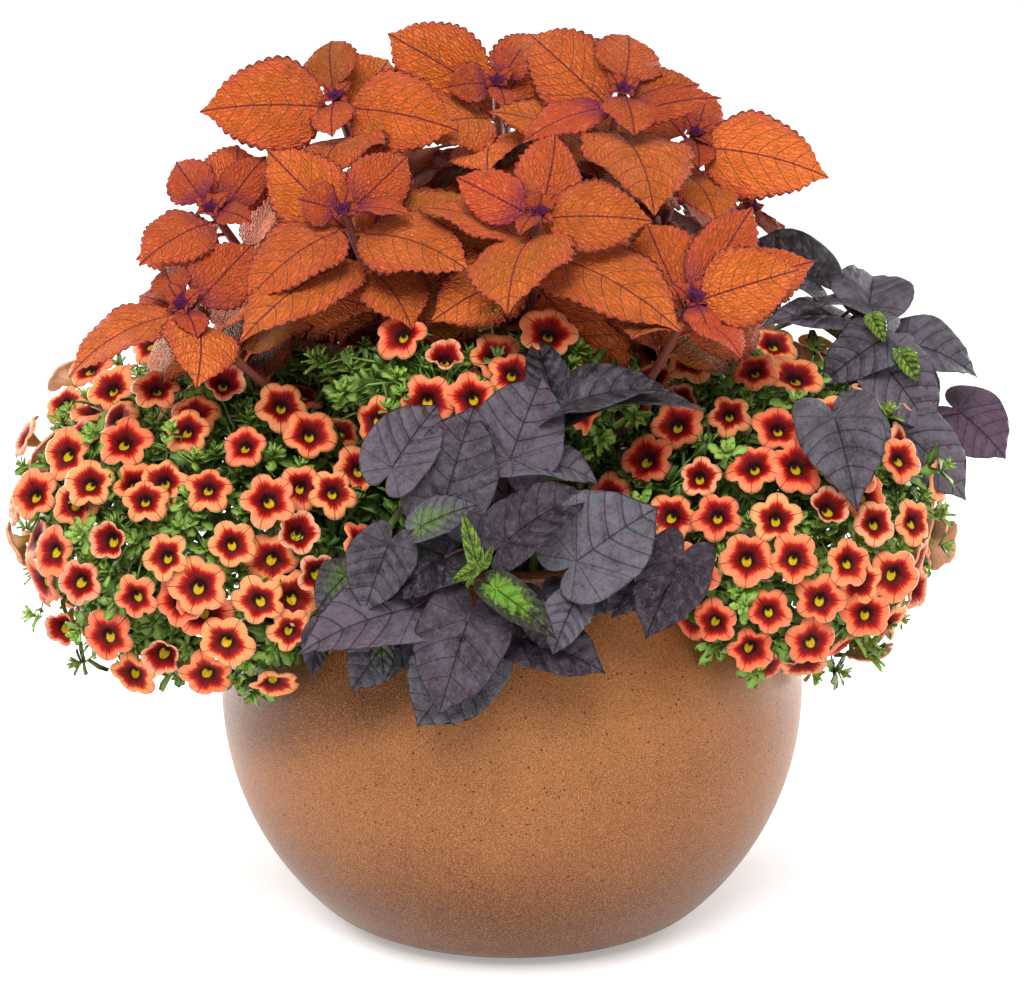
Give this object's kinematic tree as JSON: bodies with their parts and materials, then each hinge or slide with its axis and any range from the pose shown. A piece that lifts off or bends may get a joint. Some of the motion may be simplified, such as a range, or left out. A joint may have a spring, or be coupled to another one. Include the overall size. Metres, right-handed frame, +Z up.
{
  "type": "planted ball pot with coleus",
  "caption": "Ball-shaped glazed pot planted with orange coleus, purple sweet potato vine and trailing orange calibrachoa; stands on its flat foot.",
  "frame": {"origin": "middle of the pot's flat foot, on the surface it stands on", "axes": "+Z up, the pot's own axis; the front of the planting faces -Y"},
  "size_m": [0.6778, 0.566, 0.6139],
  "materials": {
    "pot": "semi-gloss copper-brown glaze with fine dark speckles",
    "soil": "loose dark potting soil",
    "coleus": "matt rust-orange leaves with purple veins",
    "vine": "satin purple-black leaves",
    "calibrachoa": "matt orange blooms with green leaves"
  },
  "bodies": {
    "root": {"pot": "pot", "soil": "soil", "coleus_shoot_1": "coleus", "coleus_shoot_2": "coleus", "coleus_shoot_3": "coleus", "coleus_shoot_4": "coleus", "coleus_shoot_5": "coleus", "coleus_shoot_6": "coleus", "coleus_shoot_7": "coleus", "coleus_shoot_8": "coleus", "coleus_shoot_9": "coleus", "coleus_shoot_10": "coleus", "coleus_shoot_11": "coleus", "coleus_shoot_12": "coleus", "coleus_shoot_13": "coleus", "coleus_shoot_14": "coleus", "coleus_shoot_15": "coleus", "coleus_shoot_16": "coleus", "vine_runner_front_middle": "vine", "vine_runner_front_upper": "vine", "vine_runner_front_right": "vine", "vine_runner_front_back": "vine", "vine_runner_front_left": "vine", "vine_runner_right_upper": "vine", "vine_runner_right_lower": "vine", "vine_runner_back_right": "vine", "vine_runner_back_left": "vine", "calibrachoa_spray_left_1": "calibrachoa", "calibrachoa_spray_left_2": "calibrachoa", "calibrachoa_spray_left_3": "calibrachoa", "calibrachoa_spray_left_4": "calibrachoa", "calibrachoa_spray_left_5": "calibrachoa", "calibrachoa_spray_left_6": "calibrachoa", "calibrachoa_spray_left_7": "calibrachoa", "calibrachoa_spray_left_8": "calibrachoa", "calibrachoa_spray_right_1": "calibrachoa", "calibrachoa_spray_right_2": "calibrachoa", "calibrachoa_spray_right_3": "calibrachoa", "calibrachoa_spray_right_4": "calibrachoa", "calibrachoa_spray_right_5": "calibrachoa", "calibrachoa_spray_right_6": "calibrachoa", "calibrachoa_spray_right_7": "calibrachoa", "calibrachoa_spray_front_1": "calibrachoa", "calibrachoa_spray_front_2": "calibrachoa"}
  },
  "joints": []
}
